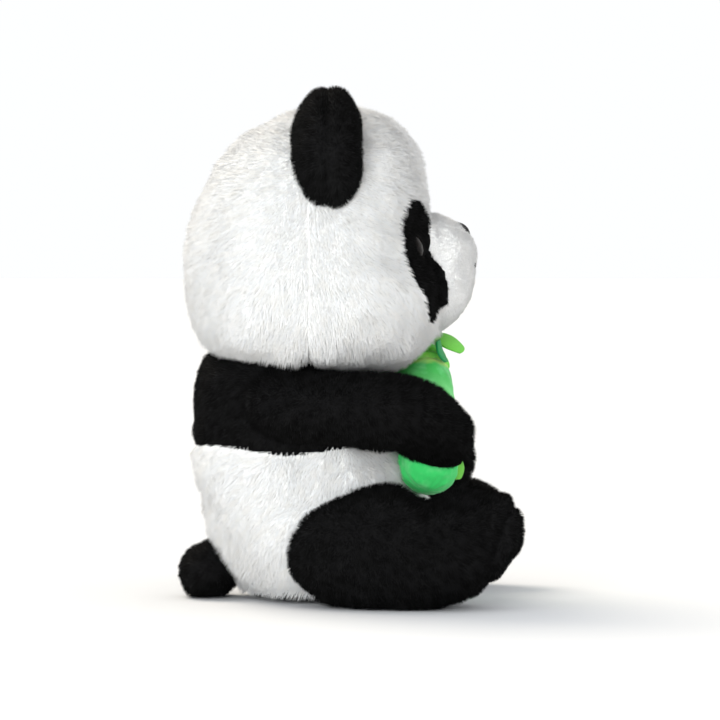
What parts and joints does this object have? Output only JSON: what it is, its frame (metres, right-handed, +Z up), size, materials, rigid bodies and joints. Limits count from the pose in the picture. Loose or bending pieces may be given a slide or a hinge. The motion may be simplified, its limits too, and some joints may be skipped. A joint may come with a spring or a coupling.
{
  "type": "plush panda",
  "caption": "Seated plush panda toy that hugs a stuffed bamboo stalk, with sewn plush panels, jointed head, ears, arms, legs and tail.",
  "frame": {"origin": "on the surface the toy sits on, under the middle of its bounding box", "axes": "+Z up; the toy faces -Y and its own left side is +X"},
  "size_m": [0.1928, 0.1922, 0.296],
  "materials": {
    "white_plush": "long soft pile",
    "muzzle_plush": "short soft pile",
    "black_plush": "dense soft pile",
    "fibre": "loose polyester fibre",
    "bag_cloth": "plain weave",
    "eye_plastic": "gloss",
    "washer_plastic": "matte",
    "black_thread": "satin stitch",
    "mint_velour": "short velour",
    "green_velour": "short velour",
    "lime_velour": "short velour",
    "band_velour": "short velour",
    "lime_felt": "felt",
    "dark_felt": "felt"
  },
  "bodies": {
    "torso": {"shoulder_band_right": "black_plush", "shoulder_band_left": "black_plush", "back_panel_right": "white_plush", "back_panel_left": "white_plush", "chest_panel": "black_plush", "belly_panel": "white_plush", "seat_base": "black_plush", "body_filling": "fibre", "pellet_bag": "bag_cloth", "stalk_lower": "mint_velour", "stalk_middle": "green_velour", "stalk_upper": "lime_velour", "node_band_lower": "band_velour", "node_band_upper": "band_velour", "stalk_filling": "fibre"},
    "neck": {"neck_filling": "fibre"},
    "head": {"face_panel_right": "white_plush", "face_panel_left": "white_plush", "head_back_panel_right": "white_plush", "head_back_panel_left": "white_plush", "muzzle_cover": "muzzle_plush", "nose": "black_thread", "mouth_stitching": "black_thread", "eye_patch_right": "black_plush", "eye_patch_left": "black_plush", "eye_right": "eye_plastic", "eye_left": "eye_plastic", "eye_washer_right": "washer_plastic", "eye_washer_left": "washer_plastic", "head_filling": "fibre"},
    "ear_right": {"ear_front_right": "black_plush", "ear_back_right": "black_plush", "ear_wadding_right": "fibre"},
    "ear_left": {"ear_front_left": "black_plush", "ear_back_left": "black_plush", "ear_wadding_left": "fibre"},
    "arm_right": {"arm_outer_right": "black_plush", "arm_inner_right": "black_plush", "arm_filling_right": "fibre"},
    "arm_left": {"arm_outer_left": "black_plush", "arm_inner_left": "black_plush", "arm_filling_left": "fibre"},
    "leg_right": {"leg_outer_right": "black_plush", "leg_inner_right": "black_plush", "sole_right": "black_plush", "leg_filling_right": "fibre"},
    "leg_left": {"leg_outer_left": "black_plush", "leg_inner_left": "black_plush", "sole_left": "black_plush", "leg_filling_left": "fibre"},
    "tail": {"tail_panel_right": "black_plush", "tail_panel_left": "black_plush", "tail_filling": "fibre"},
    "leaf_front": {"leaf_front": "lime_felt"},
    "leaf_hanging": {"leaf_hanging": "dark_felt"},
    "leaf_lower": {"leaf_lower": "lime_felt"}
  },
  "joints": [
    {"name": "head_turn", "type": "hinge", "parent": "torso", "child": "neck", "pos_m": [0, 0.02, 0.141], "axis": [0, 0, 1], "range_deg": [-12, 12], "stiffness_Nm_per_rad": 0.4},
    {"name": "head_nod", "type": "hinge", "parent": "neck", "child": "head", "pos_m": [0, 0.02, 0.141], "axis": [1, 0, 0], "range_deg": [-5, 4], "stiffness_Nm_per_rad": 3},
    {"name": "ear_right_fold", "type": "hinge", "parent": "head", "child": "ear_right", "pos_m": [-0.06, 0.013, 0.2595], "axis": [0.5868, 0, 0.8097], "range_deg": [-9, 9], "stiffness_Nm_per_rad": 0.12},
    {"name": "arm_right_open", "type": "hinge", "parent": "torso", "child": "arm_right", "pos_m": [-0.04, 0.064, 0.116], "axis": [0, 0, -1], "range_deg": [0, 30], "stiffness_Nm_per_rad": 0.15},
    {"name": "leg_right_spread", "type": "hinge", "parent": "torso", "child": "leg_right", "pos_m": [-0.05, 0.03, 0.034], "axis": [0, 0, -1], "range_deg": [0, 15], "stiffness_Nm_per_rad": 0.5},
    {"name": "ear_left_fold", "type": "hinge", "parent": "head", "child": "ear_left", "pos_m": [0.06, 0.013, 0.2595], "axis": [0.5868, 0, -0.8097], "range_deg": [-9, 9], "stiffness_Nm_per_rad": 0.12},
    {"name": "arm_left_open", "type": "hinge", "parent": "torso", "child": "arm_left", "pos_m": [0.04, 0.064, 0.116], "axis": [0, 0, 1], "range_deg": [0, 30], "stiffness_Nm_per_rad": 0.15},
    {"name": "leg_left_spread", "type": "hinge", "parent": "torso", "child": "leg_left", "pos_m": [0.05, 0.03, 0.034], "axis": [0, 0, 1], "range_deg": [0, 15], "stiffness_Nm_per_rad": 0.5},
    {"name": "tail_wag", "type": "hinge", "parent": "torso", "child": "tail", "pos_m": [0, 0.069, 0.021], "axis": [0, 0, 1], "range_deg": [-8, 8], "stiffness_Nm_per_rad": 0.08},
    {"name": "leaf_front_flex", "type": "hinge", "parent": "torso", "child": "leaf_front", "pos_m": [0.01187, -0.04913, 0.15138], "axis": [-0.9535, 0.0996, -0.2846], "range_deg": [-3, 12], "stiffness_Nm_per_rad": 0.004},
    {"name": "leaf_hanging_flex", "type": "hinge", "parent": "torso", "child": "leaf_hanging", "pos_m": [0.00424, -0.04995, 0.14553], "axis": [-0.608, 0.6982, -0.3779], "range_deg": [0, 15], "stiffness_Nm_per_rad": 0.004},
    {"name": "leaf_lower_flex", "type": "hinge", "parent": "torso", "child": "leaf_lower", "pos_m": [-0.02527, -0.06432, 0.08027], "axis": [-0.9682, -0.1223, 0.2181], "range_deg": [0, 15], "stiffness_Nm_per_rad": 0.004}
  ]
}
